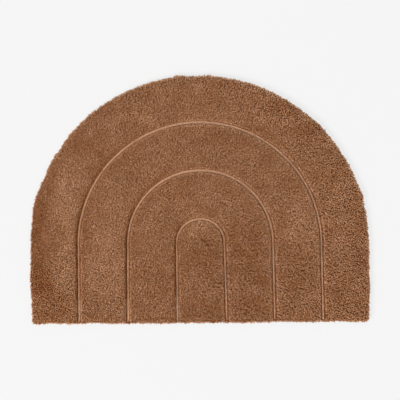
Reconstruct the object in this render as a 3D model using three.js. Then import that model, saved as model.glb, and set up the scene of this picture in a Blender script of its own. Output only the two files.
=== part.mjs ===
import * as THREE from 'three';

// A half-round cut-pile doormat lying flat, in millimetres. It is one tufted sheet: a coated base
// with pile standing on it, straight legs at the front, a half circle at the back, and three
// nested arches where the pile is left low. +X runs along the front edge, +Y towards the crown of
// the arch and +Z up. The origin is under the middle of the mat, on the surface it lies on.

// Driving dimensions
const WIDTH = 700;
const DEPTH = 511;
const CORNER_RADIUS = 8;
const PILE_TOP = 15;
const CHANNEL_FLOOR = 8.5;

// The side of the mat from the underside up. The base is cut upright and the pile flares over it.
const BASE_EDGE = [
  { inset: 3, height: 0 },
  { inset: 3, height: 2.5 },
  { inset: 0.8, height: 5 },
];
const SHOULDER = [
  { inset: 0, height: 8 },
  { inset: 1.5, height: 11.5 },
  { inset: 5, height: 14 },
  { inset: 12, height: PILE_TOP },
];

// Half of a channel, from its middle outwards
const CHANNEL = [
  { away: 0, height: CHANNEL_FLOOR },
  { away: 1.8, height: CHANNEL_FLOOR + 0.4 },
  { away: 4, height: PILE_TOP - 2 },
  { away: 8, height: PILE_TOP },
];

// The nested arches, from the outline inwards. Hand tufting leaves each arch a little wide or
// narrow (over), a little off the outline's centre (shiftX, shiftY), and its feet a little to the
// right of its shoulders.
const ARCHES = [
  { radius: 350, over: 0, shiftX: 0, shiftY: 0, leftFoot: 0, rightFoot: 0 },
  { radius: 250, over: 1.4, shiftX: 2.4, shiftY: 2.1, leftFoot: 2.6, rightFoot: 4.9 },
  { radius: 150, over: 0.1, shiftX: 3.5, shiftY: 4, leftFoot: 2.7, rightFoot: 6 },
  { radius: 50, over: -0.8, shiftX: 3.6, shiftY: 4.4, leftFoot: 3.8, rightFoot: 7.6 },
  { radius: 0, over: 0, shiftX: 4, shiftY: 4.4, leftFoot: 6, rightFoot: 6 },
];
const CHANNEL_ARCHES = ARCHES.slice(1, -1);

// Where the cut edge wanders: "at" is measured along the outline from the left front corner, over
// the crown to the right front corner and back along the front; "out" is positive outwards.
const WANDERS = [
  { at: 10, out: -5, reach: 60 },
  { at: 155, out: -2.8, reach: 50 },
  { at: 205, out: -1.4, reach: 20 },
  { at: 254, out: 1.6, reach: 16 },
  { at: 310, out: -1.8, reach: 18 },
  { at: 378, out: -2, reach: 12 },
  { at: 410, out: 0.7, reach: 12 },
  { at: 467, out: 1, reach: 16 },
  { at: 560, out: 0.8, reach: 190 },
  { at: 672, out: 1.8, reach: 10 },
  { at: 706, out: -1.6, reach: 14 },
  { at: 828, out: 1.3, reach: 18 },
  { at: 985, out: 1.3, reach: 18 },
  { at: 1062, out: -1, reach: 14 },
  { at: 1160, out: 2.4, reach: 14 },
  { at: 1180, out: 2.3, reach: 240 },
  { at: 1230, out: -1, reach: 18 },
  { at: 1276, out: 0.7, reach: 14 },
  { at: 1356, out: 2, reach: 24 },
  { at: 1490, out: -1.5, reach: 16 },
  { at: 1608, out: -1, reach: 26 },
  { at: 1684, out: 0.8, reach: 16 },
  { at: 1848, out: 1.4, reach: 14 },
  { at: 1920, out: 0.7, reach: 16 },
  { at: 1992, out: -1.6, reach: 18 },
  { at: 2080, out: -1.7, reach: 24 },
];
const WANDER_DEPTH = 45; // how far in from the edge the pile rows still follow it

// Small ripple of the cut edge and slow lumps of the pile
const RIPPLE = 0.35;
const RIPPLE_LENGTHS = [17, 29];
const LUMP = 0.3;
const LUMP_LENGTHS = [107, 83, 131];

// How finely the surface is laid out
const ARC_STEP = 9;
const LEG_STEP = 16;
const LAND_ROWS = 3;
const SEGMENT_MULTIPLE = 8;

const OUTER_RADIUS = WIDTH / 2;
const LEG = DEPTH - OUTER_RADIUS;
const ARC_LENGTH = Math.PI * OUTER_RADIUS;

/** The value of one column of a table at x, straight between its rows. */
function column(table, key, name, x) {
  const rows = [...table].sort((a, b) => a[key] - b[key]);
  const next = rows.findIndex((row) => row[key] >= x);
  if (next === 0) return rows[0][name];
  if (next < 0) return rows.at(-1)[name];
  const [low, high] = [rows[next - 1], rows[next]];
  return THREE.MathUtils.mapLinear(x, low[key], high[key], low[name], high[name]);
}

/** How far the cut edge lies outside its true line, at a distance along the outline. */
function wander(along) {
  const bends = WANDERS.map(({ at, out, reach }) => out * Math.exp(-(((along - at) / reach) ** 2)));
  const ripples = RIPPLE_LENGTHS.map((length) => RIPPLE * Math.sin((2 * Math.PI * along) / length));
  return [...bends, ...ripples].reduce((sum, offset) => sum + offset, 0);
}

/** 1 at the edge, falling smoothly to 0 at WANDER_DEPTH in from it. */
function edgeHold(inset) {
  return 1 - THREE.MathUtils.smoothstep(inset, 0, WANDER_DEPTH);
}

/** Rounds a front corner: the square of one corner radius is drawn onto a quarter disc. */
function roundCorner(fromSide, fromFront) {
  const u = Math.max(0, 1 - fromSide / CORNER_RADIUS);
  const v = Math.max(0, 1 - fromFront / CORNER_RADIUS);
  return {
    side: CORNER_RADIUS * (1 - u * Math.sqrt(1 - (v * v) / 2)),
    front: CORNER_RADIUS * (1 - v * Math.sqrt(1 - (u * u) / 2)),
  };
}

/** Distance in from the cut edge, which rounds the front corners. */
function insetOf(radius, y) {
  const fromSide = OUTER_RADIUS - radius;
  const fromFront = y + LEG;
  if (Math.max(fromSide, fromFront) >= CORNER_RADIUS) return Math.min(fromSide, fromFront);
  const { side, front } = roundCorner(fromSide, fromFront);
  return CORNER_RADIUS - Math.hypot(CORNER_RADIUS - side, CORNER_RADIUS - front);
}

/** Slow lumps in the pile surface, none at its edge. */
function lumps(x, y, inset) {
  const [a, b, c] = LUMP_LENGTHS.map((length) => (2 * Math.PI) / length);
  const wave = Math.sin(a * x + b * y) + Math.sin(b * x - c * y + 1) + Math.sin(c * x + a * y + 2);
  return LUMP * wave * THREE.MathUtils.smoothstep(inset, 0, SHOULDER.at(-1).inset);
}

/** Height of the pile surface over a point of the true arch of this radius. */
function pileHeight(x, y, radius) {
  const inset = insetOf(radius, y);
  const away = Math.min(...CHANNEL_ARCHES.map((arch) => Math.abs(radius - arch.radius)));
  const shoulder = column(SHOULDER, 'inset', 'height', inset);
  const channel = column(CHANNEL, 'away', 'height', away);
  return Math.min(shoulder, channel) + lumps(x, y, inset);
}

/** Moves a point of the true arch to where it lies on the mat, and lifts it to the pile surface. */
function settle(x, y, radius) {
  const down = THREE.MathUtils.clamp(-y / LEG, 0, 1);
  const side = Math.sign(x);
  const foot = column(ARCHES, 'radius', side < 0 ? 'leftFoot' : 'rightFoot', radius);
  const place = new THREE.Vector2(
    x + column(ARCHES, 'radius', 'shiftX', radius) * (1 - down) + foot * down,
    y + column(ARCHES, 'radius', 'shiftY', radius) * (1 - down),
  );

  const angle = Math.atan2(Math.max(y, 0), x);
  const alongLeg = side < 0 ? -LEG * down : LEG * down;
  const alongSide = LEG + OUTER_RADIUS * (Math.PI - angle) + alongLeg;
  const outward = new THREE.Vector2(Math.cos(angle), Math.sin(angle));
  const over = column(ARCHES, 'radius', 'over', radius);
  place.addScaledVector(outward, over + wander(alongSide) * edgeHold(OUTER_RADIUS - radius));

  const alongFront = 2 * LEG + ARC_LENGTH + (OUTER_RADIUS - x);
  place.y -= wander(alongFront) * edgeHold(y + LEG);

  const corner = roundCorner(OUTER_RADIUS - radius, y + LEG);
  place.x -= side * (corner.side - Math.min(OUTER_RADIUS - radius, CORNER_RADIUS));
  place.y += corner.front - Math.min(y + LEG, CORNER_RADIUS);
  return new THREE.Vector3(place.x, place.y, pileHeight(x, y, radius));
}

/** Radii of the rows of points, from the cut edge to the middle of the innermost arch. */
function rowRadii() {
  const radii = SHOULDER.map(({ inset }) => OUTER_RADIUS - inset);
  const halves = CHANNEL.map(({ away }) => away);
  const across = [...halves.slice(1).reverse(), 0, ...halves.slice(1).map((away) => -away)];
  for (const radius of [...CHANNEL_ARCHES.map((arch) => arch.radius), 0]) {
    const from = radii.at(-1);
    const to = radius > 0 ? radius + across[0] : 0;
    for (let i = 1; i <= LAND_ROWS; i++) radii.push(THREE.MathUtils.lerp(from, to, i / (LAND_ROWS + 1)));
    if (radius > 0) radii.push(...across.map((away) => radius + away));
  }
  return [...radii, 0];
}

/** Heights down a leg, from the front edge to just under the half circle. */
function legLevels() {
  const levels = SHOULDER.map(({ inset }) => inset - LEG);
  const from = levels.at(-1);
  const steps = Math.round(-from / LEG_STEP);
  for (let i = 1; i < steps; i++) levels.push(THREE.MathUtils.lerp(from, 0, i / steps));
  return levels;
}

const vertices = [];
const triangles = [];

/** Adds a vertex and returns its number. */
function addVertex(point) {
  return vertices.push(point) - 1;
}

/** One row of the pile surface: up the left leg, over the half circle and down the right leg. */
function archRow(radius) {
  const levels = legLevels();
  if (radius === 0) {
    const spine = [...levels, 0].map((y) => addVertex(settle(0, y, 0)));
    return [...spine, ...spine.slice(0, -1).reverse()];
  }
  const multiples = Math.round((Math.PI * radius) / ARC_STEP / SEGMENT_MULTIPLE);
  const segments = SEGMENT_MULTIPLE * Math.max(1, multiples);
  const arc = new THREE.EllipseCurve(0, 0, radius, radius, Math.PI, 0, true).getPoints(segments);
  const outline = [
    ...levels.map((y) => ({ x: -radius, y })),
    ...arc.map(({ x, y }) => ({ x, y: Math.max(y, 0) })),
    ...[...levels].reverse().map((y) => ({ x: radius, y })),
  ];
  return outline.map(({ x, y }) => addVertex(settle(x, y, radius)));
}

/** Joins an outer row to the row inside it, always with the shorter of the two next diagonals. */
function stitch(outer, inner) {
  let i = 0;
  let j = 0;
  const gap = (a, b) => vertices[a].distanceTo(vertices[b]);
  while (i < outer.length - 1 || j < inner.length - 1) {
    const stepOuter =
      j === inner.length - 1 ||
      (i < outer.length - 1 && gap(outer[i + 1], inner[j]) <= gap(outer[i], inner[j + 1]));
    if (stepOuter) triangles.push(outer[i], inner[j], outer[++i]);
    else triangles.push(outer[i], inner[j], inner[++j]);
  }
}

/** A copy of a closed loop drawn in by a distance and set at one height. */
function drawnIn(loop, inset, height) {
  const count = loop.length;
  return loop.map((vertex, i) => {
    const before = vertices[loop[(i + count - 1) % count]];
    const after = vertices[loop[(i + 1) % count]];
    const run = new THREE.Vector2(after.x - before.x, after.y - before.y).normalize();
    const { x, y } = vertices[vertex];
    return addVertex(new THREE.Vector3(x + inset * run.y, y - inset * run.x, height));
  });
}

/** Upright band between two closed loops that run clockwise, seen from above. */
function band(lower, upper) {
  lower.forEach((vertex, i) => {
    const next = (i + 1) % lower.length;
    triangles.push(lower[next], vertex, upper[i], lower[next], upper[i], upper[next]);
  });
}

/** Flat underside inside a clockwise loop, facing down. */
function underside(loop) {
  const ring = [...loop].reverse();
  const contour = ring.map((vertex) => new THREE.Vector2(vertices[vertex].x, vertices[vertex].y));
  for (const [a, b, c] of THREE.ShapeUtils.triangulateShape(contour, [])) {
    triangles.push(ring[a], ring[c], ring[b]);
  }
}

/** The whole mat as one closed surface: pile surface, rounded side, base edge and underside. */
function tuftedMat() {
  const rows = rowRadii().map(archRow);
  rows.slice(1).forEach((row, i) => stitch(rows[i], row));

  const rightFront = rows.slice(1).map((row) => row.at(-1));
  const leftFront = rows.slice(1, -1).map((row) => row[0]).reverse();
  const edge = [...rows[0], ...rightFront, ...leftFront];
  const levels = [...BASE_EDGE.map(({ inset, height }) => drawnIn(edge, inset, height)), edge];
  levels.slice(1).forEach((upper, i) => band(levels[i], upper));
  underside(levels[0]);

  const geometry = new THREE.BufferGeometry().setFromPoints(vertices);
  geometry.setIndex(triangles);
  geometry.computeBoundingBox();
  const middle = geometry.boundingBox.getCenter(new THREE.Vector3());
  geometry.translate(-middle.x, -middle.y, -geometry.boundingBox.min.z);
  geometry.computeVertexNormals();
  return geometry;
}

const pile = new THREE.MeshStandardMaterial({ color: 0x895f43, roughness: 0.95, metalness: 0 });
const mat = new THREE.Mesh(tuftedMat(), pile);
mat.name = 'tufted_mat';

const group = new THREE.Group();
group.add(mat);

export default group;
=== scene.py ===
# %% [markdown]
# # A half-round cut-pile doormat
#
# The real mat is one tufted sheet. A machine punches loops of yarn through a base cloth, shears
# them into pile, coats the back so that the yarn holds, and cuts the sheet to its arch outline.
# Three nested lines are left low in the pile, like a rainbow.
#
# The CAD frame holds the mat as one solid: its outline, its thickness and the three channels.
# Here the pile itself is made, tuft by tuft. The mat's sizes are in millimetres, and turn into
# metres only where they are put into Blender.

import bpy
import numpy as np
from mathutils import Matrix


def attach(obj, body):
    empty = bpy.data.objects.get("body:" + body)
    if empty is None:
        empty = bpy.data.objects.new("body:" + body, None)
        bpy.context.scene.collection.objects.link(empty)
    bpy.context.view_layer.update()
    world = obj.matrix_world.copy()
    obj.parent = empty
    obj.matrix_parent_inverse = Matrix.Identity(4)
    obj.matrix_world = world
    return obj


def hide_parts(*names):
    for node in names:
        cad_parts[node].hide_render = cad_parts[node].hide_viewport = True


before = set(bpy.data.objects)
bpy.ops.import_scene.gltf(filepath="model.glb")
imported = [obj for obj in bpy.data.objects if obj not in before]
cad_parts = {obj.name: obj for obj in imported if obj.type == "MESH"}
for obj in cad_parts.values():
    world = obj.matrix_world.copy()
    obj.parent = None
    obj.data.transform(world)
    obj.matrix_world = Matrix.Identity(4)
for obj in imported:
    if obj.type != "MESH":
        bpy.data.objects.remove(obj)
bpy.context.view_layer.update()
MAT = "tufted_mat"
BODY = "root"

# %% [markdown]
# ## Drawing the arch
#
# Every line on this mat, the outline too, is the same drawing at another radius: up a straight
# leg, over a half circle, and down the other leg. So a point is laid out on a true arch first,
# from its radius and its distance along the arch. A second function then moves it to where the
# maker's hand left it: each arch sits a little off centre, and the cut edge wanders.
#
# The outline could be traced point by point instead. That would fix one edge only, while this
# map carries every tuft, channel and edge with it.
#
# Two tables hold what the hand did. The first says for each arch how much larger it came out,
# where its centre went, and how far its feet drifted. The second lists the bends of the cut
# edge: how far round the mat each lies, clockwise from the left foot, how far out it goes, and
# how far along the edge it reaches.

# %% sizes of the arch
MM = 0.001
WIDTH = 700.0
DEPTH = 511.0
CORNER_RADIUS = 8.0
OUTER_RADIUS = WIDTH / 2
LEG = DEPTH - OUTER_RADIUS


def table(names, rows):
    """Rows of numbers with named columns."""
    return np.array(rows, dtype=[(name, float) for name in names.split()])


ARCHES = table(
    "radius over shift_x shift_y left_foot right_foot",
    [
        (0, 0.0, 4.0, 4.4, 6.0, 6.0),
        (50, -0.8, 3.6, 4.4, 3.8, 7.6),
        (150, 0.1, 3.5, 4.0, 2.7, 6.0),
        (250, 1.4, 2.4, 2.1, 2.6, 4.9),
        (350, 0.0, 0.0, 0.0, 0.0, 0.0),
    ],
)
CHANNEL_RADII = ARCHES["radius"][1:-1]
print("legs of", LEG, "mm, and channels at radii of", CHANNEL_RADII.tolist(), "mm")

# %% bends of the cut edge
WANDERS = table(
    "at out reach",
    [
        (10, -5.0, 60),
        (155, -2.8, 50),
        (205, -1.4, 20),
        (254, 1.6, 16),
        (310, -1.8, 18),
        (378, -2.0, 12),
        (410, 0.7, 12),
        (467, 1.0, 16),
        (560, 0.8, 190),
        (672, 1.8, 10),
        (706, -1.6, 14),
        (828, 1.3, 18),
        (985, 1.3, 18),
        (1062, -1.0, 14),
        (1160, 2.4, 14),
        (1180, 2.3, 240),
        (1230, -1.0, 18),
        (1276, 0.7, 14),
        (1356, 2.0, 24),
        (1490, -1.5, 16),
        (1608, -1.0, 26),
        (1684, 0.8, 16),
        (1848, 1.4, 14),
        (1920, 0.7, 16),
        (1992, -1.6, 18),
        (2080, -1.7, 24),
    ],
)
WANDER_DEPTH = 45.0
RIPPLE = 0.35
RIPPLE_LENGTHS = np.array([17.0, 29.0])
print("bends of the cut edge:", len(WANDERS))

# %% the true arch
# Keeps the very middle of the mat, where the radius is 0, from being divided by 0.
TINY = 1e-6


def smooth(x):
    """A soft step: 0 below 0, 1 above 1, and 3x^2 - 2x^3 between."""
    x = np.clip(x, 0, 1)
    return x * x * (3 - 2 * x)


def arch_length(radius):
    """Two legs and half a circle."""
    return 2 * LEG + np.pi * radius


def true_arch(radius, along):
    """The point at a distance along the arch of this radius, from its left foot.

    On a leg x is the radius to that side, and on the half circle the angle is the distance over
    the radius. y is 0 where the legs meet the half circle.
    """
    angle = np.pi - np.clip((along - LEG) / np.maximum(radius, TINY), 0, np.pi)
    down = np.maximum(LEG - along, 0) + np.maximum(along - LEG - np.pi * radius, 0)
    return radius * np.cos(angle), radius * np.sin(angle) - down


def around(inset, share):
    """The point at a share of the way round the mat, clockwise from the left foot, at an inset.

    The first part of the way is the arch, and the rest runs back along the straight front.
    """
    arch = arch_length(OUTER_RADIUS)
    place = share * (arch + WIDTH)
    radius = OUTER_RADIUS - inset
    inset_arch = arch_length(radius) - 2 * inset
    over_x, over_y = true_arch(radius, inset + np.minimum(place / arch, 1) * inset_arch)
    front_x = radius * (1 - 2 * np.clip((place - arch) / WIDTH, 0, 1))
    return np.where(place > arch, front_x, over_x), np.where(place > arch, inset - LEG, over_y)


def radius_of(x, y):
    """The radius of the true arch that a point lies on."""
    return np.where(y > 0, np.hypot(x, y), np.abs(x))


print("length of the cut arch in mm:", round(arch_length(OUTER_RADIUS), 1))

# %% the mat as made
def wander(along):
    """How far the cut edge lies outside its true line: a sum of bell curves and two ripples."""
    place = np.asarray(along)[..., None]
    bends = WANDERS["out"] * np.exp(-(((place - WANDERS["at"]) / WANDERS["reach"]) ** 2))
    ripples = RIPPLE * np.sin(2 * np.pi * place / RIPPLE_LENGTHS)
    return bends.sum(-1) + ripples.sum(-1)


def corner_place(x, y):
    """How far a point is into a front corner's square, 0 to 1, towards the side and the front."""
    to_side = np.clip(1 - (OUTER_RADIUS - radius_of(x, y)) / CORNER_RADIUS, 0, 1)
    to_front = np.clip(1 - (y + LEG) / CORNER_RADIUS, 0, 1)
    return to_side, to_front


def as_made(x, y):
    """Moves true-arch points to where they lie on the mat.

    By its row of the table an arch grows outwards, its centre is shifted and its feet drift
    sideways. The cut edge wanders along its normal, and the two front corners are rounded by
    drawing a square of one corner radius onto a quarter disc.
    """
    radius = radius_of(x, y)
    down = np.clip(-y / LEG, 0, 1)
    side = np.sign(x)
    drift = {name: np.interp(radius, ARCHES["radius"], ARCHES[name]) for name in ARCHES.dtype.names}
    foot = np.where(side < 0, drift["left_foot"], drift["right_foot"])
    new_x = x + drift["shift_x"] * (1 - down) + foot * down
    new_y = y + drift["shift_y"] * (1 - down)

    angle = np.arctan2(np.maximum(y, 0), x)
    beside = wander(LEG + OUTER_RADIUS * (np.pi - angle) + side * LEG * down)
    beside = drift["over"] + beside * (1 - smooth((OUTER_RADIUS - radius) / WANDER_DEPTH))
    new_x = new_x + beside * np.cos(angle)
    new_y = new_y + beside * np.sin(angle)
    front = wander(arch_length(OUTER_RADIUS) + OUTER_RADIUS - x)
    new_y = new_y - front * (1 - smooth((y + LEG) / WANDER_DEPTH))

    u, v = corner_place(x, y)
    new_x = new_x - side * CORNER_RADIUS * u * (1 - np.sqrt(1 - v * v / 2))
    new_y = new_y + CORNER_RADIUS * v * (1 - np.sqrt(1 - u * u / 2))
    return new_x, new_y


def inset_of(x, y):
    """Distance in from the cut edge before it wanders, and in a corner from the corner's arc."""
    straight = np.minimum(OUTER_RADIUS - radius_of(x, y), y + LEG)
    u, v = corner_place(x, y)
    rounded = np.hypot(u * np.sqrt(1 - v * v / 2), v * np.sqrt(1 - u * u / 2))
    return np.where((u > 0) & (v > 0), CORNER_RADIUS * (1 - rounded), straight)


EDGE_POINTS = 1001

edge_x, edge_y = as_made(*around(0.0, np.linspace(0, 1, EDGE_POINTS)))
middle_x = (edge_x.min() + edge_x.max()) / 2
middle_y = (edge_y.min() + edge_y.max()) / 2
print("outline in mm:", round(np.ptp(edge_x), 1), "by", round(np.ptp(edge_y), 1))


def in_metres(x, y, z):
    """Points in the frame: about the middle of the mat's box, and in metres."""
    return np.stack([x - middle_x, y - middle_y, z + 0 * x], -1) * MM


# %% [markdown]
# ## Heights
#
# The pile stands 15 mm over the floor, rounds off at the edge because nothing holds the last
# tufts upright, and is low along three lines.
#
# Each band could be modelled with rounded sides of its own. One function that gives the height
# anywhere is shorter, and the tips of all the tufts just ask it.

# %% height of the pile
PILE_TOP = 15.0
CHANNEL_FLOOR = 8.5
SHOULDER_INSET = [0, 1.5, 5, 12]
SHOULDER_HEIGHT = [8, 11.5, 14, PILE_TOP]
CHANNEL_AWAY = [0, 1.8, 4, 8]
CHANNEL_HEIGHT = [CHANNEL_FLOOR, CHANNEL_FLOOR + 0.4, PILE_TOP - 2, PILE_TOP]
LUMP = 0.3
LUMP_LENGTHS = [107.0, 83.0, 131.0]


def from_channel(x, y):
    """Distance from the middle of the nearest channel."""
    return np.abs(radius_of(x, y)[..., None] - CHANNEL_RADII).min(-1)


def pile_height(x, y):
    """Height of the pile tips: the lower of the edge's shoulder and the channels, plus slow lumps.

    The lumps are three crossing sine waves, each a radian out of step with the one before.
    """
    inset = inset_of(x, y)
    shoulder = np.interp(inset, SHOULDER_INSET, SHOULDER_HEIGHT)
    channel = np.interp(from_channel(x, y), CHANNEL_AWAY, CHANNEL_HEIGHT)
    a, b, c = (2 * np.pi / length for length in LUMP_LENGTHS)
    wave = np.sin(a * x + b * y) + np.sin(b * x - c * y + 1) + np.sin(c * x + a * y + 2)
    return np.minimum(shoulder, channel) + LUMP * wave * smooth(inset / SHOULDER_INSET[-1])


print("depth of the channels in mm:", PILE_TOP - CHANNEL_FLOOR)

# %% [markdown]
# ## Camera
#
# The photograph looks straight down, and the mat lies turned by half a degree in it. A camera
# close by would see the tufts and channels near the rim from one side. A long lens high up keeps
# the view as flat as there. The length of the lens follows from its height and from how many
# millimetres a pixel covers.

# %% camera
PHOTO_SIDE_PX = 400
PHOTO_MM_PER_PX = 2.065
# Where the middle of the mat lies, from the photograph's left and top.
PHOTO_MIDDLE_PX = (199.33, 199.4)
PHOTO_TURN_DEG = 0.55
CAMERA_HEIGHT = 3200.0
SENSOR_MM = 36.0

camera_data = bpy.data.cameras.new("photo_camera")
camera_data.sensor_width = SENSOR_MM
camera_data.lens = SENSOR_MM * (CAMERA_HEIGHT - PILE_TOP) / (PHOTO_SIDE_PX * PHOTO_MM_PER_PX)
camera = bpy.data.objects.new("photo_camera", camera_data)
bpy.context.scene.collection.objects.link(camera)
camera.location = (
    (PHOTO_SIDE_PX / 2 - PHOTO_MIDDLE_PX[0]) * PHOTO_MM_PER_PX * MM,
    (PHOTO_MIDDLE_PX[1] - PHOTO_SIDE_PX / 2) * PHOTO_MM_PER_PX * MM,
    CAMERA_HEIGHT * MM,
)
camera.rotation_euler = (0, 0, -np.radians(PHOTO_TURN_DEG))
bpy.context.scene.camera = camera
print("lens in mm:", round(camera_data.lens, 1))

# %% [markdown]
# ## Putting a surface into Blender
#
# Each piece below is worked out as arrays of points and faces. This helper makes them a mesh
# object that rides on the mat's body. A mesh could be built face by face, which takes minutes for
# so many tufts. Whole arrays go in within a second.

# %% mesh helper
def make_piece(name, points, faces, materials, which=0):
    """A mesh object from points in metres and faces of equal sides, riding on the mat."""
    mesh = bpy.data.meshes.new(name)
    mesh.vertices.add(len(points))
    mesh.vertices.foreach_set("co", points.astype(np.float32).ravel())
    mesh.loops.add(faces.size)
    mesh.loops.foreach_set("vertex_index", faces.astype(np.int32).ravel())
    mesh.polygons.add(len(faces))
    mesh.polygons.foreach_set("loop_start", np.arange(0, faces.size, faces.shape[1], dtype=np.int32))
    for material in materials:
        mesh.materials.append(material)
    mesh.polygons.foreach_set("material_index", np.broadcast_to(which, len(faces)).astype(np.int32))
    mesh.update(calc_edges=True)
    mesh.shade_smooth()
    piece = bpy.data.objects.new(name, mesh)
    bpy.context.scene.collection.objects.link(piece)
    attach(piece, BODY)
    print(f"{name}: {len(points)} points, {len(faces) * (faces.shape[1] - 2)} triangles")
    return piece


# %% [markdown]
# ## Yarn and coating
#
# The pile is one dyed yarn, but no two tufts look alike: each takes the dye a little differently,
# its root sits in the shade, and pile that is brushed over looks darker or lighter. That shade at
# the root, the light and dark of the brushed pile, and the light and shade beside the channels
# and at the rim are painted into the yarn's colour. Each point of the pile carries two values for
# this, its shade and how far up the tuft it is. The shade runs through four browns, from a deep
# red-brown to a pale sandy one, because a dark tuft is not just a dimmer light one. A noise
# texture alone would not follow the tufts.
#
# The coating on the back is a dull brown-grey film that nobody sees in use, so one soft noise is
# enough for it: the same noise mottles its colour and roughens its surface.

# %% material helpers
# The Mix node has sockets of every kind. These are the places of its colour sockets.
MIX_A, MIX_B, MIX_RESULT = 6, 7, 2
# Neither cut yarn nor the dull coating shines.
SHINE = 0.0


def new_material(name, roughness):
    """A matt material, its shader, and helpers that add and link nodes."""
    material = bpy.data.materials.new(name)
    material.use_nodes = True
    tree = material.node_tree
    shader = tree.nodes["Principled BSDF"]
    shader.inputs["Roughness"].default_value = roughness
    shader.inputs["Specular IOR Level"].default_value = SHINE
    return material, shader, tree.nodes.new, tree.links.new


def between(new, link, factor, low, high):
    """A colour between two others. Each may be a plain colour or a socket."""
    mix = new("ShaderNodeMix")
    mix.data_type = "RGBA"
    link(factor, mix.inputs["Factor"])
    for place, colour in ((MIX_A, low), (MIX_B, high)):
        if isinstance(colour, tuple):
            mix.inputs[place].default_value = (*colour, 1)
        else:
            link(colour, mix.inputs[place])
    return mix.outputs[MIX_RESULT]


def carried(new, name):
    """A value that the mesh's points carry."""
    value = new("ShaderNodeAttribute")
    value.attribute_name = name
    return value.outputs["Fac"]


def ranged(new, link, value, source, target):
    """A value moved from one range to another and held inside it."""
    change = new("ShaderNodeMapRange")
    change.inputs["From Min"].default_value, change.inputs["From Max"].default_value = source
    change.inputs["To Min"].default_value, change.inputs["To Max"].default_value = target
    link(value, change.inputs["Value"])
    return change.outputs["Result"]


def through(new, link, value, colours):
    """A colour that runs through several others, the first at 0 and the last at 1."""
    ramp = new("ShaderNodeValToRGB")
    stops = ramp.color_ramp.elements
    places = sorted(colours)
    for place in places[1:-1]:
        stops.new(place)
    for stop, place in zip(stops, places, strict=True):
        stop.color = (*colours[place], 1)
    link(value, ramp.inputs["Fac"])
    return ramp.outputs["Color"]


def grained(new, link, shader, grain, depth, stretch=1.0):
    """A bump of fine grain on the piece's own coordinates, and the grain's noise.

    The mapping sets how many grains go into a metre, fewer along z where they are stretched.
    """
    scaled = new("ShaderNodeMapping")
    grains = 1 / (grain * MM)
    scaled.inputs["Scale"].default_value = (grains, grains, grains / stretch)
    link(new("ShaderNodeTexCoord").outputs["Object"], scaled.inputs["Vector"])
    noise = new("ShaderNodeTexNoise")
    noise.inputs["Scale"].default_value = 1.0
    link(scaled.outputs["Vector"], noise.inputs["Vector"])
    bump = new("ShaderNodeBump")
    bump.inputs["Distance"].default_value = depth * MM
    link(noise.outputs["Fac"], bump.inputs["Height"])
    link(bump.outputs["Normal"], shader.inputs["Normal"])
    return noise.outputs["Fac"]


# %% the pile's yarn
# Painted shade: the yarn is one colour down to the base cloth, and this dark brown stands in for the
# shade deep between the tufts.
SHADED_ROOT_BROWN = (0.11, 0.018, 0.002)
YARN_BROWNS = {
    0.0: (0.245, 0.059, 0.013),
    0.3: (0.368, 0.150, 0.058),
    0.6: (0.53, 0.275, 0.144),
    1.0: (0.90, 0.560, 0.352),
}
YARN_ROUGHNESS = 0.9
FIBRE = 0.35
FIBRE_STRETCH = 4.0
FIBRE_DEPTH = 0.15
FIBRE_NOISE = (0.25, 0.75)
FIBRE_SHADE = (-0.22, 0.22)
ROOT_TO_NECK = (0.3, 0.85)


def pile_yarn():
    """Painted shade at the root, and the brown of its shade from the neck up, with fine fibres."""
    material, shader, new, link = new_material("pile_yarn", YARN_ROUGHNESS)
    fibre = grained(new, link, shader, FIBRE, FIBRE_DEPTH, FIBRE_STRETCH)
    shade = new("ShaderNodeMath")
    shade.operation = "ADD"
    link(carried(new, "shade"), shade.inputs[0])
    link(ranged(new, link, fibre, FIBRE_NOISE, FIBRE_SHADE), shade.inputs[1])
    yarn = through(new, link, shade.outputs[0], YARN_BROWNS)
    upper = ranged(new, link, carried(new, "up"), ROOT_TO_NECK, (0, 1))
    link(between(new, link, upper, SHADED_ROOT_BROWN, yarn), shader.inputs["Base Color"])
    return material


pile = pile_yarn()
print("the yarn:", len(YARN_BROWNS), "browns and", len(pile.node_tree.nodes), "nodes")

# %% the coated back
DARK_COATING = (0.075, 0.062, 0.052)
PALE_COATING = (0.12, 0.10, 0.085)
COATING_ROUGHNESS = 0.75
COATING_GRAIN = 2.0
COATING_DEPTH = 0.3


def back_coating():
    """A dull brown-grey coat with a soft mottle that is also its bump."""
    material, shader, new, link = new_material("back_coating", COATING_ROUGHNESS)
    mottle = grained(new, link, shader, COATING_GRAIN, COATING_DEPTH)
    link(between(new, link, mottle, DARK_COATING, PALE_COATING), shader.inputs["Base Color"])
    return material


coating = back_coating()
print("the coating:", len(coating.node_tree.nodes), "nodes")

# %% [markdown]
# ## Base with its pile bed
#
# Low down the pile is so dense that it is one solid bed on the coated base cloth. The base is
# a closed slab over rows of arches, from the rim through the bands and channels to the middle.
# The innermost row is closed by joining its left half to its right half, and upright bands join
# the rim to the flat underside. The top is yarn, and the sides and the underside are coating.
#
# A flat slab with the outline cut out would need a boolean for each channel. Rows of arches have
# their edges along the channels from the start.
#
# The bed shows in the channels only. So it takes the painted light and shade of the channel
# walls, which are worked out before it is made, and painted shade darkens it towards the roots'
# brown.

# %% rows of arches
ARC_COLUMNS = 242
LEG_STEPS = 22
RIM_STEPS = np.array([0, 1.0, 2.5, 5.0, 9.0])
LEG_START = 14.0


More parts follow.
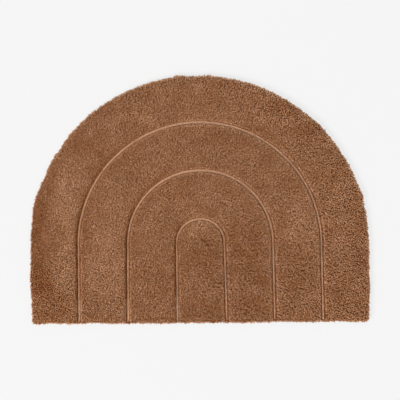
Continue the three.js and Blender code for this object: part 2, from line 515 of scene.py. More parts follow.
def arch_grid(radii, inset):
    """True points in rows of arches, the whole grid drawn in from the edge by an inset.

    A column runs up the left leg, over the half circle or down the right leg. Drawing in scales
    the radii and the legs, so that the outer row ends up one inset further in on every side.
    """
    levels = np.concatenate([RIM_STEPS, np.linspace(LEG_START, LEG, LEG_STEPS)[:-1]]) - LEG
    angles = np.linspace(np.pi, 0, ARC_COLUMNS)
    upright = np.ones_like(levels)
    flat = np.zeros_like(levels)
    across = np.concatenate([-upright, np.cos(angles), upright])
    rise = np.concatenate([flat, np.sin(angles), flat])
    fall = np.concatenate([levels, 0 * angles, levels[::-1]])
    radii = radii[:, None] * (1 - inset / OUTER_RADIUS)
    return radii * across, radii * rise + fall * (1 - inset / LEG)


# %% a closed slab
def slab(radii, levels, top):
    """A closed slab over rows of arches: true points, heights, quads and the place of each quad.

    levels are (inset, height) from the underside up to the rim of the top surface, and top gives
    the top's height over true points. The places are 0 on the top, 1 on the rim, 2 underneath.
    """
    rows = [arch_grid(radii, inset) for inset, _ in levels]
    count, columns = rows[0][0].shape
    number = np.arange(count * columns).reshape(count, columns)
    edge = np.concatenate([number[0], number[1:, -1], number[:0:-1, 0]])

    points = [np.stack([*rows[-1], top(*rows[-1])], -1).reshape(-1, 3)]
    loops = [edge]
    for (x, y), (_, height) in zip(rows[1:-1][::-1], levels[1:-1][::-1], strict=True):
        loops.append(np.arange(len(edge)) + sum(map(len, points)))
        points.append(np.stack([x.ravel()[edge], y.ravel()[edge], np.full(len(edge), height)], -1))
    under = number + sum(map(len, points))
    points.append(np.stack([*rows[0], np.full(rows[0][0].shape, levels[0][1])], -1).reshape(-1, 3))
    loops.append(under.ravel()[edge])

    def sheet(grid):
        """Quads between neighbouring rows, and across the middle from one half to the other."""
        quads = [grid[:-1, :-1], grid[1:, :-1], grid[1:, 1:], grid[:-1, 1:]]
        left, right = grid[-1, : columns // 2], grid[-1, ::-1][: columns // 2]
        closing = [left[:-1], right[:-1], right[1:], left[1:]]
        return np.concatenate([np.stack(quads, -1).reshape(-1, 4), np.stack(closing, -1)])

    bands = [
        np.stack([upper, np.roll(upper, -1), np.roll(lower, -1), lower], -1)
        for upper, lower in zip(loops, loops[1:])
    ]
    parts = [sheet(number), np.concatenate(bands), sheet(under)[:, ::-1]]
    places = np.repeat([0, 1, 2], [len(part) for part in parts])
    x, y, height = np.concatenate(points).T
    return x, y, height, np.concatenate(parts), places


# %% the base
BASE_INSET = 3.0
BASE_TOP = 2.5
BED_INSET = 2.6
BED_START = 3.1
BED_RIM = 6.0
BED_TOP = 9.3
BED_ROUNDING = 6.0
BASE_LEVELS = [
    (BASE_INSET, 0.0),
    (BASE_INSET, BASE_TOP),
    (BED_INSET, BED_START),
    (BED_INSET, BED_RIM),
]
CHANNEL_BED = 6.4
CHANNEL_STEP = [3.0, 4.4]
CHANNEL_ROWS = np.array([5.6, 4.4, 3.7, 3.0, 0, -3.0, -3.7, -4.4, -5.6])
ROWS_PER_BAND = 9
MIDDLE_RADIUS = 5.0


def bed_height(x, y):
    """The bed lies flat, with a step down into each channel, and is rounded off to the rim."""
    by_channel = np.interp(from_channel(x, y), CHANNEL_STEP, [CHANNEL_BED, BED_TOP])
    by_rim = np.interp(inset_of(x, y), [BED_INSET, BED_ROUNDING], [BED_RIM, BED_TOP])
    return np.minimum(by_channel, by_rim)


def base_radii():
    """Rows close together at the rim and beside the channels, and wide apart between them."""
    close = [OUTER_RADIUS - RIM_STEPS]
    close += [radius + CHANNEL_ROWS for radius in CHANNEL_RADII[::-1]]
    close += [np.array([MIDDLE_RADIUS])]
    radii = [close[0]]
    for before, after in zip(close, close[1:]):
        radii += [np.linspace(before[-1], after[0], ROWS_PER_BAND + 2)[1:-1], after]
    return np.concatenate(radii)


print("rows of the base:", len(base_radii()))

# %% [markdown]
# ## Light and dark in the pile
#
# Brushed pile leans, and shows more of its dark sides or more of its light tips, so soft patches
# run over the mat. The tufts here do lean with the brush, and the light and dark that this shows
# is painted into the yarn: a tone says how dark or light the pile is anywhere, 0 is its middle
# brown, and the tone moves the shade of the yarn up or down from there.
#
# A noise texture would give patches too, but not in the places where this mat has them. So each
# patch is a row of a table, with its middle, its half sizes and its tone, and smooth random
# fields make the borders wavy and the rest a little uneven.

# %% smooth random fields
def waves(x, y, lengths, seed):
    """A smooth random field and its slopes along x and y.

    It is a sum of sine waves, one for each length, in random directions, with a spread of 1.
    """
    rng = np.random.default_rng(seed)
    turn, phase = rng.uniform(0, 2 * np.pi, (2, len(lengths)))
    along_x = 2 * np.pi * np.cos(turn) / lengths
    along_y = 2 * np.pi * np.sin(turn) / lengths
    angle = x[..., None] * along_x + y[..., None] * along_y + phase
    scale = np.sqrt(2 / len(lengths))
    slopes = [scale * (np.cos(angle) * k).sum(-1) for k in (along_x, along_y)]
    return scale * np.sin(angle).sum(-1), *slopes


# %% where the pile is brushed
BRUSHED = table(
    "x y across along tone",
    [
        (-338, -90, 16, 110, -0.75),
        (-322, -170, 20, 26, -0.6),
        (-318, 60, 18, 40, -0.35),
        (-305, -225, 36, 30, -0.35),
        (-279, -45, 22, 145, 0.4),
        (-262, 45, 34, 50, 0.2),
        (-290, 22, 12, 34, -0.25),
        (-300, -65, 18, 26, -0.25),
        (-270, 122, 28, 24, -0.35),
        (-185, 192, 34, 16, -0.35),
        (-140, 166, 66, 13, 0.3),
        (-92, 150, 15, 11, -0.25),
        (-240, 130, 24, 12, 0.3),
        (-225, 108, 45, 16, -0.2),
        (-240, 160, 18, 14, -0.45),
        (-283, 88, 16, 20, -0.25),
        (-175, 25, 20, 45, 0.25),
        (-194, -115, 34, 85, 0.4),
        (-230, -40, 12, 50, -0.35),
        (-228, -145, 12, 28, 0.3),
        (-155, -148, 9, 42, -0.25),
        (-75, -162, 14, 34, -0.25),
        (-180, 70, 28, 28, -0.25),
        (-118, 117, 14, 13, -0.3),
        (-106, -50, 20, 18, 0.2),
        (-75, 102, 22, 26, 0.3),
        (0, 172, 95, 9, 0.15),
        (65, 122, 45, 16, -0.2),
        (105, 134, 58, 9, -0.2),
        (-36, 24, 22, 18, -0.25),
        (48, 24, 20, 18, -0.25),
        (104, 81, 19, 17, 0.35),
        (140, 88, 20, 20, -0.2),
        (170, 190, 24, 13, -0.35),
        (228, 143, 24, 16, -0.4),
        (130, 228, 24, 12, 0.35),
        (270, 128, 10, 24, 0.4),
        (25, -2, 55, 10, 0.3),
        (-1, -62, 26, 14, 0.5),
        (-65, -65, 26, 10, -0.25),
        (4, -116, 36, 38, -0.35),
        (98, -120, 34, 55, -0.35),
        (60, -137, 9, 12, 0.4),
        (76, -69, 36, 8, -0.3),
        (166, -166, 16, 14, -0.25),
        (178, -198, 16, 8, -0.25),
        (132, -163, 15, 14, -0.4),
        (168, -65, 20, 12, -0.35),
        (12, -228, 42, 28, -0.4),
        (22, -220, 13, 24, 0.3),
        (-22, -245, 22, 9, -0.3),
        (112, -230, 36, 26, -0.35),
        (200, -45, 30, 36, 0.4),
        (235, -85, 24, 20, 0.3),
        (200, -148, 38, 38, -0.2),
        (292, -200, 24, 24, -0.3),
        (328, -125, 14, 36, -0.2),
        (326, -62, 16, 14, -0.3),
        (292, -84, 16, 20, 0.25),
        (275, -10, 34, 10, 0.25),
        (265, 88, 28, 12, -0.25),
        (250, 36, 20, 12, -0.25),
        (140, 162, 60, 12, 0.25),
    ],
)
print("brushed patches:", len(BRUSHED))

# %% tone of the brushed pile
PATCH_POWER = 4
WARP = 4.0
WARP_LENGTHS = np.linspace(40, 90, 8)
WARP_SEEDS = (1, 2)
MOTTLE = 0.08
MOTTLE_LENGTHS = np.linspace(35, 90, 24)
MOTTLE_SQUASH = 1.3
MOTTLE_SEED = 3


def brushed_shading_and_mottle(x, y):
    """Painted light and dark of brushed pile in soft patches with wavy borders, and a slow mottle.

    A patch is a bell with a flat middle: its tone times e to the power of minus the fourth
    powers of the distances from its middle, each over its half size that way.
    """
    bend_x, bend_y = (waves(x, y, WARP_LENGTHS, seed)[0] for seed in WARP_SEEDS)
    off_x = (x + WARP * bend_x)[..., None] - BRUSHED["x"]
    off_y = (y + WARP * bend_y)[..., None] - BRUSHED["y"]
    away = (off_x / BRUSHED["across"]) ** PATCH_POWER + (off_y / BRUSHED["along"]) ** PATCH_POWER
    patches = (BRUSHED["tone"] * np.exp(-away)).sum(-1)
    mottle = waves(x, MOTTLE_SQUASH * y, MOTTLE_LENGTHS, MOTTLE_SEED)[0]
    return patches + MOTTLE * mottle


# %% [markdown]
# ## Walls of the channels
#
# Beside a channel the pile ends in a wall, which is in the light or in the shade by the way it
# faces, and over the crowns it has fallen away from the line. How this changes round an arch is
# a table with a row for some angles, from the right leg at 0 over the crown at 90 to the left
# leg at 180. Three columns hold the painted light and shade of the three rows of tufts outside
# the line, and three that of the rows inside it. The last three say how open the line is, and so
# how pale with painted light, how far it is lifted, and how far the pile beside it leans apart.
#
# The lamp alone gives only a part of this light and shade, because real pile is far finer and
# denser than these tufts can be. The tones paint in the rest as lighter and darker yarn.

# %% painted light and shade beside the channels
WALLS = table(
    "angle out_1 out_2 out_3 in_1 in_2 in_3 line lift apart",
    [
        (0, -1.7, 0.6, 0.4, -0.6, 0.5, 0.4, 0.6, 0.0, 0.0),
        (25, -1.3, 0.7, 0.4, -0.5, 0.6, 0.3, 1.0, 0.1, 0.1),
        (50, -0.8, 0.5, 0.3, 0.3, 0.6, 0.2, 1.4, 0.9, 0.3),
        (90, 0.0, 0.2, 0.0, 0.8, 0.2, 0.3, 1.6, 0.1, 1.1),
        (130, -0.1, -0.3, -0.4, 0.0, 0.5, -0.1, 0.5, 0.0, 0.4),
        (150, -0.4, -0.7, -0.6, -0.5, 0.7, -0.3, 0.3, 0.0, 0.2),
        (165, -0.9, -0.9, -0.2, -0.9, 0.8, -0.2, 0.3, 0.0, 0.0),
        (180, -1.2, -1.0, 0.1, -1.2, 0.6, 0.0, 0.2, 0.0, 0.0),
    ],
)
ROW_AWAY = [3.8, 5.4, 7.4]
ROW_REACH = [0.9, 1.0, 1.8]
ARCH_SHARE = [0.75, 0.95, 1.0]
print("angles in the table of walls:", len(WALLS))

# %% reading the table of walls
FRONT_NAP = 51.0
NAP_CHANGE = 14.0
FRONT_LEFT_AS = 120.0


def behind_front(y):
    """0 in the strip along the front edge, where the pile is brushed the other way, and 1 behind.

    It is a soft step from one to the other, with its middle on the strip's border.
    """
    return smooth((y + LEG - FRONT_NAP) / NAP_CHANGE + 0.5)


def by_angle(x, y, column):
    """A column of the table at each point, by its angle round the arches.

    In the strip along the front edge the left legs look as the arches do at another angle. The
    values of a smaller arch are a smaller share of the table's.
    """
    angle = np.degrees(np.arctan2(np.maximum(y, 0), x))
    brushed_back = FRONT_LEFT_AS + (angle - FRONT_LEFT_AS) * behind_front(y)
    angle = np.where(x < 0, brushed_back, angle)
    share = np.interp(radius_of(x, y), CHANNEL_RADII, ARCH_SHARE)
    return share * np.interp(angle, WALLS["angle"], WALLS[column])


def beyond_channel(x, y):
    """Distance from the middle of the nearest channel, outwards from it."""
    radius = radius_of(x, y)
    return radius - CHANNEL_RADII[np.abs(radius[..., None] - CHANNEL_RADII).argmin(-1)]


def painted_wall_shading(x, y):
    """Painted light and shade beside the channels.

    It is a sum of bell curves over the distance from the line, one for each of the three rows of
    tufts on that side.
    """
    beyond = beyond_channel(x, y)
    tone = 0
    for row, (away, reach) in enumerate(zip(ROW_AWAY, ROW_REACH), 1):
        row_tone = np.where(beyond > 0, by_angle(x, y, f"out_{row}"), by_angle(x, y, f"in_{row}"))
        tone = tone + row_tone * np.exp(-(((np.abs(beyond) - away) / reach) ** 2))
    return tone


# %% shade of the yarn
MIDDLE_SHADE = 0.5
TONE_STEP = 0.25


def shade_of(tone):
    """The place among the four browns for a tone, before a tuft's own difference."""
    return MIDDLE_SHADE + TONE_STEP * tone


def carry(piece, **values):
    """Gives each point of a piece its own value under each of these names."""
    for name, value in values.items():
        attribute = piece.data.attributes.new(name, "FLOAT", "POINT")
        attribute.data.foreach_set("value", value.astype(np.float32).ravel())


# %% make the base
# Painted shade: the bed counts as half way up a tuft, so its yarn is darkened towards the roots'
# brown.
BED_UP = 0.5

x, y, height, quads, places = slab(base_radii(), BASE_LEVELS, bed_height)
base_points = in_metres(*as_made(x, y), height)
base = make_piece("coated_base", base_points, quads, [pile, coating], np.minimum(places, 1))
carry(base, shade=shade_of(painted_wall_shading(x, y)), up=np.full(len(x), BED_UP))
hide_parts(MAT)

# %% [markdown]
# ## Tufts
#
# A cut tuft is a little brush: narrow where the base holds it, widest just under its cut end.
# Each one here is a closed spindle of a few faces: a point in the bed, one ring, and a blunt top.
# Tens of thousands of them are worked out in one go as arrays, which keeps the script quick and
# makes real meshes, where hair particles would be lost outside Blender.
#
# Tufts stand in rows along the arches. Their tips lean together in small clumps with dark gaps
# between, lean outwards at the edge and away from the channels, and lean over where the pile has
# been brushed.

# %% places of the tufts
CHANNEL_ROOM = 3.8
PITCH = 1.85
ROW_GAP = PITCH * np.sqrt(3) / 2
STAGGER = 0.5
FRONT_INSET = 3.2
JITTER = 0.24
BORDER_LOOSENESS = 0.3


def tuft_places(outer, inner, seed):
    """True points in staggered rows between two radii, each moved a little at random.

    The first and last row keep close to their line, so that a channel has straight sides.
    """
    rng = np.random.default_rng(seed)
    radii = np.linspace(outer, inner, round((outer - inner) / ROW_GAP) + 1)
    lengths = arch_length(radii) - 2 * FRONT_INSET
    counts = np.round(lengths / PITCH).astype(int)
    row = np.repeat(np.arange(len(radii)), counts)
    step = np.arange(len(row)) - np.repeat(np.cumsum(counts) - counts, counts)
    loose = np.where((row == 0) | (row == row[-1]), BORDER_LOOSENESS, 1.0) * JITTER * PITCH
    shifted = step + STAGGER / 2 + STAGGER * (row % 2)
    along = FRONT_INSET + shifted * (lengths / counts)[row]
    along = along + rng.normal(0, JITTER * PITCH, len(row))
    return true_arch(np.abs(radii[row] + rng.normal(0, 1, len(row)) * loose), along)


print("tufts", PITCH, "mm apart in rows", round(ROW_GAP, 2), "mm apart")

# %% one spindle for each tuft
TUFT_SIDES = 4
NECK_UP = 0.80
NECK_REACH = 0.66
RAGGED = (0.75, 1.2)
NECK_SPREAD = 0.25
LEAST_RISE = 3.0
LEAST_HEIGHT = 0.4


def spindles(roots, tips, width, rng):
    """Points of closed spindles as a (tufts, points, 3) array, their triangles and their heights.

    A spindle is a root point in the bed, a neck ring most of the way up, and a blunt tip point.
    The neck lies a smaller share of the way out than up, so that the tuft bends. The ring is
    tilted square to the tuft: each of its points drops by its own reach towards the tip times
    the tuft's slope. The slope is taken over no less than the least rise, so that a tuft that
    lies almost flat gets no spikes, and no point comes lower than the least height. The ring's
    points are ragged, because the yarn's ends are. The heights are shares of the tuft's own.
    """
    reach = tips - roots
    neck = roots + reach * (NECK_REACH, NECK_REACH, NECK_UP)
    turn = rng.uniform(0, 2 * np.pi, (len(roots), 1))
    angle = turn + 2 * np.pi * np.arange(TUFT_SIDES) / TUFT_SIDES
    width = width[:, None] * rng.uniform(*RAGGED, angle.shape)
    ring = width[..., None] * np.stack([np.cos(angle), np.sin(angle), 0 * angle], -1)
    slope = reach[:, None, :2] / np.maximum(reach[:, None, 2:], LEAST_RISE)
    drop = -(ring[..., :2] * slope).sum(-1) + rng.normal(0, NECK_SPREAD, angle.shape)
    tilt = drop[..., None] * (0, 0, 1)
    points = np.concatenate([roots[:, None], neck[:, None] + ring + tilt, tips[:, None]], 1)
    points[..., 2] = np.maximum(points[..., 2], LEAST_HEIGHT)

    side = np.arange(TUFT_SIDES)
    after = (side + 1) % TUFT_SIDES
    lower = np.stack([0 * side, after + 1, side + 1], -1)
    upper = np.stack([0 * side + TUFT_SIDES + 1, side + 1, after + 1], -1)
    first = points.shape[1] * np.arange(len(roots))
    triangles = first[:, None, None] + np.concatenate([lower, upper])
    up = np.repeat([0, NECK_UP, 1], [1, TUFT_SIDES, 1])
    return points, triangles.reshape(-1, 3), up


print("faces of a tuft:", 2 * TUFT_SIDES)

# %% a map for the tufts
MAP_NECK = 0.26
MAP_ROOT = 0.46


def tuft_map(count):
    """Corners of all tufts in one square map, a cell for each tuft.

    In a cell the tuft is seen from above its tip: the tip in the middle, the ring part of the way
    out, and the lower faces spread to the border, each with a corner of its own for the root. So
    every face has an area to itself that colours can be baked into.
    """
    side = int(np.ceil(np.sqrt(count)))
    cell = np.stack([np.arange(count) % side, np.arange(count) // side], -1) + 0.5
    turn = 2 * np.pi * np.arange(TUFT_SIDES + 1) / TUFT_SIDES
    middle = turn[:-1] + np.pi / TUFT_SIDES
    ring = MAP_NECK * np.stack([np.cos(turn), np.sin(turn)], -1)
    root = MAP_ROOT * np.stack([np.cos(middle), np.sin(middle)], -1)
    lower = np.stack([root, ring[1:], ring[:-1]], 1)
    upper = np.stack([0 * root, ring[:-1], ring[1:]], 1)
    corners = np.concatenate([lower, upper]).reshape(-1, 2)
    return (cell[:, None] + corners) / side


# %% making a field of tufts
def make_tufts(name, roots, tips, width, shade, seed, root_up=0.0):
    """A piece of joined tufts from made roots and tips in millimetres.

    Every point of a tuft carries its shade, and how far up the tuft it is. Nothing counts as
    lower than root_up, so that tufts that lie down don't show the painted shade of a root.
    """
    points, triangles, up = spindles(roots, tips, width, np.random.default_rng(seed))
    piece = make_piece(name, in_metres(*np.moveaxis(points, -1, 0)).reshape(-1, 3), triangles, [pile])
    every_point = points.shape[:2]
    carry(piece, shade=np.broadcast_to(shade[:, None], every_point))
    carry(piece, up=np.broadcast_to(np.maximum(up, root_up), every_point))
    uv = piece.data.uv_layers.new(name="OFBake")
    uv.data.foreach_set("uv", tuft_map(len(roots)).astype(np.float32).ravel())
    return piece


# %% shade and lean of a tuft
SHADE_SPREAD = 0.125
# Painted light: the leaning tufts of the rim are made paler, more on some sides of the mat.
RIM_PAINTED_LIGHT = 0.45
RIM_LIGHT = (0.15, 0.55)
APART_REACH = 2.0


def tuft_shade(tone, rng):
    """Each tuft's own shade: that of its tone, and a random difference of its own."""
    return np.clip(shade_of(tone) + SHADE_SPREAD * rng.normal(0, 1, len(tone)), 0, 1)


def painted_rim_light(out_x, out_y):
    """Painted light on the rim, whose tufts lean out, stronger or weaker by the side they face."""
    return RIM_PAINTED_LIGHT + RIM_LIGHT[0] * out_x + RIM_LIGHT[1] * out_y


def outwards(x, y):
    """The direction over the nearest edge: straight out from the arch, or to the front."""
    to_front = (y + LEG) < (OUTER_RADIUS - radius_of(x, y))
    distance = np.hypot(x, np.maximum(y, 0)) + TINY
    out_x = np.where(to_front, 0, x / distance)
    out_y = np.where(to_front, -1, np.maximum(y, 0) / distance)
    return out_x, out_y


def parted(x, y):
    """How far the pile beside a channel leans away from it along x and y.

    It is the table's value times a bell curve over the distance from the channel's border.
    """
    beyond = beyond_channel(x, y)
    angle = np.arctan2(np.maximum(y, 0), x)
    near = np.exp(-(((np.abs(beyond) - CHANNEL_ROOM) / APART_REACH) ** 2))
    lean = by_angle(x, y, "apart") * near * np.sign(beyond)
    return lean * np.cos(angle), lean * np.sin(angle)


# %% how the pile stands
ROOT_HEIGHT = 6.0
CLUMP_LENGTHS = np.linspace(5, 10, 24)
CLUMP_SEED = 4
CLUMP_LEAN = 0.2
CLUMP_LIFT = 0.15
CLUMP_PAINTED_LIGHT = 0.02
LOOSE_LEAN = 0.8
LOOSE_LIFT = 0.4
HELD_LEAN = 0.3
HELD_REACH = 6.0
EDGE_LEAN = 1.6
EDGE_REACH = 10.0
NAP_LEAN = (-1.6, -1.2)
TUFT_RADIUS = 1.22
TUFT_WIDTHS = (0.8, 1.2)


def standing_pile(name, x, y, seed):
    """Tufts over true points, with tips that clump, lean out at the edge and follow the brush.

    A tip lies off its root by the sum of these leans: up the slope of the clumps' field, a random
    one, out over the edge, apart from the channel, and along the brush by the patch's tone. The
    random one and the brush's are held back beside a channel, so that it stays open.
    """
    rng = np.random.default_rng(seed)
    made_x, made_y = as_made(x, y)
    clump, slope_x, slope_y = waves(x, y, CLUMP_LENGTHS, CLUMP_SEED)
    gather = CLUMP_LEAN * CLUMP_LENGTHS.mean() / (2 * np.pi)
    brushed = brushed_shading_and_mottle(made_x - middle_x, made_y - middle_y)
    held = HELD_LEAN + (1 - HELD_LEAN) * smooth((from_channel(x, y) - CHANNEL_ROOM) / HELD_REACH)
    loose_x, loose_y = held * rng.normal(0, LOOSE_LEAN, (2, len(x)))
    out_x, out_y = outwards(x, y)
    rim = 1 - smooth(inset_of(x, y) / EDGE_REACH)
    apart_x, apart_y = parted(x, y)
    lean_x = gather * slope_x + loose_x + EDGE_LEAN * rim * out_x + apart_x
    lean_x = lean_x + NAP_LEAN[0] * brushed * held
    lean_y = gather * slope_y + loose_y + EDGE_LEAN * rim * out_y + apart_y
    lean_y = lean_y + NAP_LEAN[1] * brushed * held
    height = pile_height(x + lean_x, y + lean_y) + CLUMP_LIFT * clump
    height = height + rng.normal(0, LOOSE_LIFT, len(x))
    roots = np.stack([made_x, made_y, np.full(len(x), ROOT_HEIGHT)], -1)
    tips = np.stack([made_x + lean_x, made_y + lean_y, height], -1)
    width = TUFT_RADIUS * rng.uniform(*TUFT_WIDTHS, len(x))
    # Painted light and shade: the brushed patches, the channel walls and the rim, over the yarn's own
    # tone.
    tone = brushed + painted_wall_shading(x, y) + rim * painted_rim_light(out_x, out_y)
    # Painted light and shade: tufts on the crests of the clumps are a little paler, those in the gaps
    # a little darker.
    shade = tuft_shade(tone, rng) + CLUMP_PAINTED_LIGHT * clump
    return make_tufts(name, roots, tips, width, np.clip(shade, 0, 1), seed)


# %% the bands of pile
EDGE_ROOM = 4.2
MIDDLE_ROW = 0.6
INNER, SECOND, OUTER = CHANNEL_RADII
BANDS = [
    ("outer_band", OUTER_RADIUS - EDGE_ROOM, OUTER + CHANNEL_ROOM, True),
    ("second_band", OUTER - CHANNEL_ROOM, SECOND + CHANNEL_ROOM, True),
    ("third_band", SECOND - CHANNEL_ROOM, INNER + CHANNEL_ROOM, False),
    ("middle_pile", INNER - CHANNEL_ROOM, MIDDLE_ROW, False),
]
# The first seed of each kind, and the bands count up from it.
PLACE_SEED = 10
BAND_SEED = 20
RIGHT_HALF_SEED = 30

for number, (name, outer, inner, halved) in enumerate(BANDS):
    x, y = tuft_places(outer, inner, PLACE_SEED + number)
    if halved:
        left = x < 0
        standing_pile(name + "_left", x[left], y[left], BAND_SEED + number)
        standing_pile(name + "_right", x[~left], y[~left], RIGHT_HALF_SEED + number)
    else:
        standing_pile(name, x, y, BAND_SEED + number)

# %% [markdown]
# ## Edge tufts
#
# Along the cut edge nothing holds the pile up, so its last tufts fan out over the side of the
# base and hide it. They stand in three tiers, from nearly flat just above the base cloth to
# half upright under the shoulder, and a few loose ones stick out further. The table says how far
# in from the edge and how high the tufts of a tier start and end.
#
# The outer band could simply lean out more, but its tufts all start at one height, and the side
# of the base would show below them.

# %% edge tufts
TIERS = table(
    "root_inset root_height tip_inset tip_height",
    [
        (4.5, 3.0, -0.1, 3.8),
        (5.0, 4.5, -1.1, 7.6),
        (5.5, 6.0, 0.2, 11.2),
    ],
)
EDGE_PITCH = 2.1
EDGE_LOOSE = 0.6
EDGE_LOOSE_LIFT = 0.5
FRONT_FAN = 0.6
STRAYS = 0.02
STRAY_OUT = (1, 3)
EDGE_SEED = 40


def edge_tufts(seed):
    """Tufts that fan out round the whole edge, tier over tier.

    In each tier they start and end at an inset from the edge and at a height, with a random
    reach added at the tip. Along the front they fan out a little further.
    """
    rng = np.random.default_rng(seed)
    count = int((arch_length(OUTER_RADIUS) + WIDTH) / EDGE_PITCH)
    tier = np.repeat(np.arange(len(TIERS)), count)
    place = np.tile(np.arange(count), len(TIERS)) + STAGGER * (tier % 2)
    share = ((place + rng.normal(0, JITTER, len(place))) / count) % 1
    row = TIERS[tier]
    stray = rng.uniform(0, 1, len(place)) < STRAYS
    out = rng.normal(0, EDGE_LOOSE, len(place)) + stray * rng.uniform(*STRAY_OUT, len(place))
    root_x, root_y = as_made(*around(row["root_inset"], share))
    tip_x, tip_y = as_made(*around(row["tip_inset"], share))
    run_x, run_y = tip_x - root_x, tip_y - root_y
    run = np.hypot(run_x, run_y)
    out_x, out_y = run_x / run, run_y / run
    out = out + FRONT_FAN * np.maximum(-out_y, 0)
    tip_x = tip_x + out * out_x + rng.normal(0, EDGE_LOOSE, len(place))
    tip_y = tip_y + out * out_y + rng.normal(0, EDGE_LOOSE, len(place))
    tip_height = row["tip_height"] + rng.normal(0, EDGE_LOOSE_LIFT, len(place))
    roots = np.stack([root_x, root_y, row["root_height"]], -1)
    tips = np.stack([tip_x, tip_y, tip_height], -1)
    width = TUFT_RADIUS * rng.uniform(*TUFT_WIDTHS, len(place))
    # Painted light and shade of the brushed pile and of the rim.
    brushed = brushed_shading_and_mottle(root_x - middle_x, root_y - middle_y)
    shade = tuft_shade(brushed + painted_rim_light(out_x, out_y), rng)
    return make_tufts("edge_tufts", roots, tips, width, shade, seed)


edge_tufts(EDGE_SEED)

# %% [markdown]
# ## Lines of the channels
#
# At the bottom of each channel the yarn is short and lies along the arch, and there it shows as a
# light line. It is made like the pile, from the same spindles, but in three rows of short strands
# that lie tip over root, the middle row highest. A plain tube along the arch would give the same
# line from afar, and look like a plastic cord from near.
#
# The lines aren't even: in places some pile has fallen over them, and in others they lie bare
# and pale. A table lists such places: the radius of the arch, how far along it from the left
# foot, how far the place reaches, and how much lighter or darker the line is there.

# %% where the lines are uneven
UNEVEN = table(
    "arch at reach tone",
    [
        (50, 157, 11, -0.6),
        (50, 236, 14, -0.65),
        (50, 275, 20, -0.5),
        (50, 314, 22, -0.75),
        (50, 472, 9, -0.5),
        (150, 32, 10, 1.0),
        (150, 154, 8, -0.45),
        (150, 395, 16, -0.6),
        (150, 607, 13, -0.5),
        (150, 732, 10, -0.4),
        (250, 32, 14, 0.6),
        (250, 77, 9, -0.5),
        (250, 146, 14, 0.5),
        (250, 320, 10, -0.4),
        (250, 412, 16, -0.5),
        (250, 467, 12, -0.5),
        (250, 787, 13, -0.75),
        (250, 902, 10, -0.35),
        (250, 942, 10, 0.4),
        (250, 1067, 10, 0.45),
    ],
)
print("uneven places along the lines:", len(UNEVEN))

# %% channel lines
LINE_ROWS = table("across height", [(-1.0, 8.2), (0.0, 8.9), (1.0, 8.2)])
LINE_WIDEN = 0.5
LINE_PITCH = 1.7
LINE_RUN = 2.3
LINE_END = 1.5
LINE_LOOSE = (0.45, 0.45, 0.35)
LINE_RADIUS = 1.1
LINE_TONE = 0.9
LINE_TONE_SPREAD = 0.3
LINE_UP = 0.85
LINE_NAMES = ["inner_line", "second_line", "outer_line"]
LINE_SEED = 50


def unevenness(radius, along):
    """How much lighter or darker a line is along its arch: a bell curve for each such place."""
    own = UNEVEN[UNEVEN["arch"] == radius]
    away = (along[:, None] - own["at"]) / own["reach"]
    return (own["tone"] * np.exp(-(away**2))).sum(-1)


def line_strands(name, radius, seed):
    """Short strands laid along an arch from its left foot, each tip over the next one's root.

    A strand starts at root height and ends one run further along. Where the channel is more
    open the rows spread apart and are made paler with painted light, and where it is lifted the
    tips lie higher.
    """
    rng = np.random.default_rng(seed)
    count = int((arch_length(radius) - 2 * LINE_END - LINE_RUN) / LINE_PITCH)
    row = np.repeat(np.arange(len(LINE_ROWS)), count)
    along = LINE_END + LINE_PITCH * (np.tile(np.arange(count), len(LINE_ROWS)) + row / len(LINE_ROWS))
    line_x, line_y = true_arch(radius, along)
    # Painted light: where the table opens a line, its strands spread and are also made paler.
    openness_and_light = by_angle(line_x, line_y, "line")
    across = LINE_ROWS["across"][row] * (1 + LINE_WIDEN * openness_and_light)
    stretch = arch_length(radius + across) / arch_length(radius)
    root_x, root_y = as_made(*true_arch(radius + across, along * stretch))
    tip_x, tip_y = as_made(*true_arch(radius + across, (along + LINE_RUN) * stretch))
    roots = np.stack([root_x, root_y, np.full(len(along), ROOT_HEIGHT)], -1)
    tip_height = LINE_ROWS["height"][row] + by_angle(line_x, line_y, "lift")
    tips = np.stack([tip_x, tip_y, tip_height], -1)
    tips = tips + rng.normal(0, 1, tips.shape) * LINE_LOOSE
    width = LINE_RADIUS * rng.uniform(*TUFT_WIDTHS, len(along))
    tone = LINE_TONE + openness_and_light + unevenness(radius, along)
    tone = tone + LINE_TONE_SPREAD * rng.normal(0, 1, len(along))
    return make_tufts(name, roots, tips, width, np.clip(shade_of(tone), 0, 1), seed, LINE_UP)


for number, name in enumerate(LINE_NAMES):
    line_strands(name, CHANNEL_RADII[number], LINE_SEED + number)

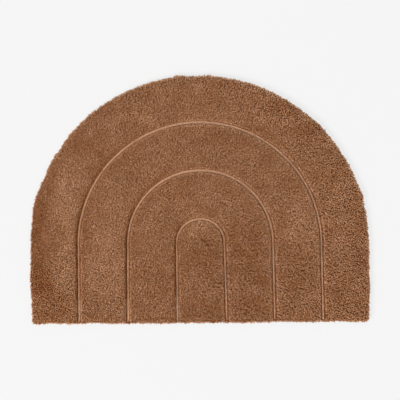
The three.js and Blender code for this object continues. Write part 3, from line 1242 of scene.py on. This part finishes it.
# %% [markdown]
# ## Floor and light
#
# The mat lies on a plain pale floor, wide enough that no edge of it shows from low down. The floor
# glows by itself, so that it is as even and pale as the photograph's ground and the mat casts
# almost no shadow on it. White paint under the lamp alone would darken away from it.
#
# One large soft lamp stands to the left and in front, so that the upper and right sides of each
# channel catch the light, and an even sky fills the rest. The sizes of the floor and the lamp are
# in metres.

# %% floor
FLOOR_HALF = 40.0
FLOOR_BELOW = 0.0001
FLOOR_COLOUR = (0.14, 0.14, 0.14, 1.0)
FLOOR_ROUGHNESS = 0.9
FLOOR_GLOW = 0.763
WHITE = (1.0, 1.0, 1.0, 1.0)
SQUARE = [(-1, -1), (1, -1), (1, 1), (-1, 1)]

floor_mesh = bpy.data.meshes.new("floor")
corners = [(FLOOR_HALF * x, FLOOR_HALF * y, -FLOOR_BELOW) for x, y in SQUARE]
floor_mesh.from_pydata(corners, [], [(0, 1, 2, 3)])
floor = bpy.data.objects.new("floor", floor_mesh)
bpy.context.scene.collection.objects.link(floor)
floor_paint, floor_shader, _, _ = new_material("pale_floor", FLOOR_ROUGHNESS)
floor_shader.inputs["Base Color"].default_value = FLOOR_COLOUR
floor_shader.inputs["Emission Color"].default_value = WHITE
floor_shader.inputs["Emission Strength"].default_value = FLOOR_GLOW
floor_mesh.materials.append(floor_paint)
print("floor in metres:", 2 * FLOOR_HALF, "each way")

# %% light
KEY_FROM = np.array([-6.0, -4.8, 7.0])
KEY_SIZE = 4.0
KEY_POWER = 950.0
SKY = 0.55

key_data = bpy.data.lights.new("key", "AREA")
key_data.size = KEY_SIZE
key_data.energy = KEY_POWER
key = bpy.data.objects.new("key", key_data)
key.location = KEY_FROM
heading = np.arctan2(KEY_FROM[0], -KEY_FROM[1])
key.rotation_euler = (np.arctan2(np.hypot(*KEY_FROM[:2]), KEY_FROM[2]), 0, heading)
bpy.context.scene.collection.objects.link(key)

world = bpy.data.worlds.new("sky")
world.use_nodes = True
background = world.node_tree.nodes["Background"]
background.inputs["Color"].default_value = WHITE
background.inputs["Strength"].default_value = SKY
bpy.context.scene.world = world
bpy.context.scene.view_settings.view_transform = "Standard"
print("lamp tilted by", round(np.degrees(key.rotation_euler[0])), "degrees")
